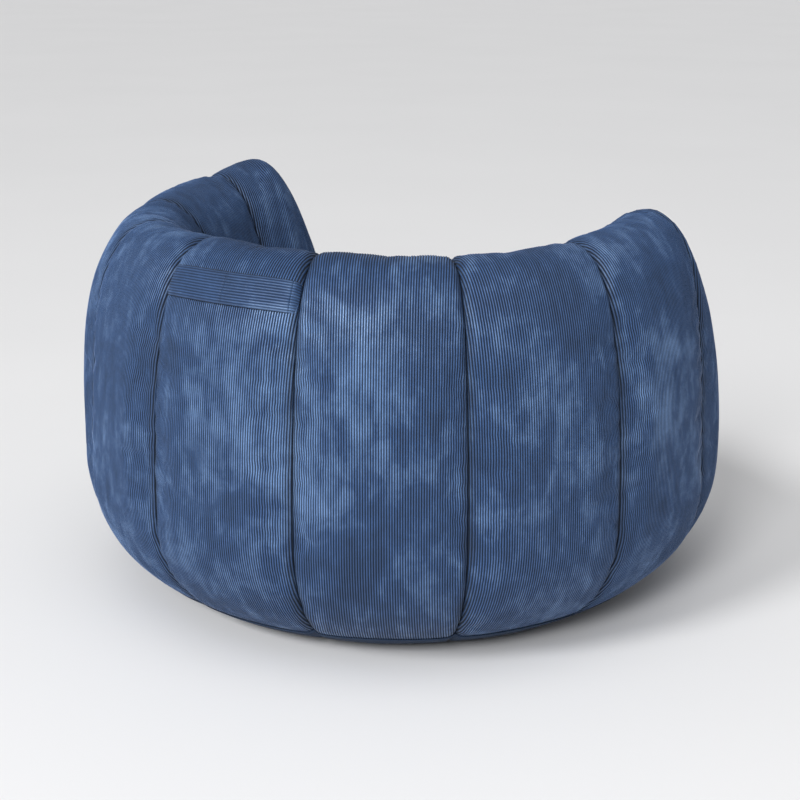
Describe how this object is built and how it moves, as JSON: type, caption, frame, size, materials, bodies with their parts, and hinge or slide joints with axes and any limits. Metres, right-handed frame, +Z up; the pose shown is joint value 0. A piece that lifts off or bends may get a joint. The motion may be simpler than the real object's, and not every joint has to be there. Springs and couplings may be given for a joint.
{
  "type": "bean bag chair",
  "caption": "Round bean bag tub chair in wide sewn corduroy channels, with high back and arms, a low open front, a seat well and a handle strap at the back.",
  "frame": {"origin": "on the floor under the middle of the chair", "axes": "+Z up, the seat opens toward -Y, +X to the sitter's left"},
  "size_m": [0.8544, 0.8569, 0.5279],
  "materials": {
    "corduroy": "mid blue crushed corduroy, 8-wale, ribs running along each channel, soft pile sheen",
    "strap_corduroy": "the same corduroy, ribs running along the strap",
    "liner_cloth": "white non-woven polypropylene",
    "base_cloth": "dark blue plain weave polyester",
    "zipper_tape": "dark blue herringbone tape",
    "zipper_coil": "nylon coil",
    "zipper_metal": "dark enamelled zinc"
  },
  "bodies": {
    "bag": {"channel_panel_01": "corduroy", "baffle_01": "liner_cloth", "bead_pouch_01": "liner_cloth", "channel_panel_02": "corduroy", "baffle_02": "liner_cloth", "bead_pouch_02": "liner_cloth", "channel_panel_03": "corduroy", "baffle_03": "liner_cloth", "bead_pouch_03": "liner_cloth", "channel_panel_04": "corduroy", "baffle_04": "liner_cloth", "bead_pouch_04": "liner_cloth", "channel_panel_05": "corduroy", "baffle_05": "liner_cloth", "bead_pouch_05": "liner_cloth", "channel_panel_06": "corduroy", "baffle_06": "liner_cloth", "bead_pouch_06": "liner_cloth", "channel_panel_07": "corduroy", "baffle_07": "liner_cloth", "bead_pouch_07": "liner_cloth", "channel_panel_08": "corduroy", "baffle_08": "liner_cloth", "bead_pouch_08": "liner_cloth", "channel_panel_09": "corduroy", "baffle_09": "liner_cloth", "bead_pouch_09": "liner_cloth", "channel_panel_10": "corduroy", "baffle_10": "liner_cloth", "bead_pouch_10": "liner_cloth", "channel_panel_11": "corduroy", "baffle_11": "liner_cloth", "bead_pouch_11": "liner_cloth", "channel_panel_12": "corduroy", "baffle_12": "liner_cloth", "bead_pouch_12": "liner_cloth", "channel_panel_13": "corduroy", "baffle_13": "liner_cloth", "bead_pouch_13": "liner_cloth", "seat_cover": "corduroy", "seat_pouch": "liner_cloth", "base_panel_back": "base_cloth", "base_panel_front": "base_cloth", "zipper_tape_front": "zipper_tape", "zipper_tape_back": "zipper_tape", "zipper_coil_front": "zipper_coil", "zipper_coil_back": "zipper_coil", "zipper_stops": "zipper_metal", "handle_tack_left": "strap_corduroy", "handle_tack_right": "strap_corduroy"},
    "handle": {"handle_strap": "strap_corduroy"},
    "slider": {"zipper_slider": "zipper_metal"}
  },
  "joints": [
    {"name": "handle_pull", "type": "slide", "parent": "bag", "child": "handle", "axis": [-0.0936, 0.8476, 0.5223], "range_m": [0, 0.015]},
    {"name": "zipper_slide", "type": "slide", "parent": "bag", "child": "slider", "axis": [-1, 0, 0], "range_m": [0, 0.388]}
  ]
}
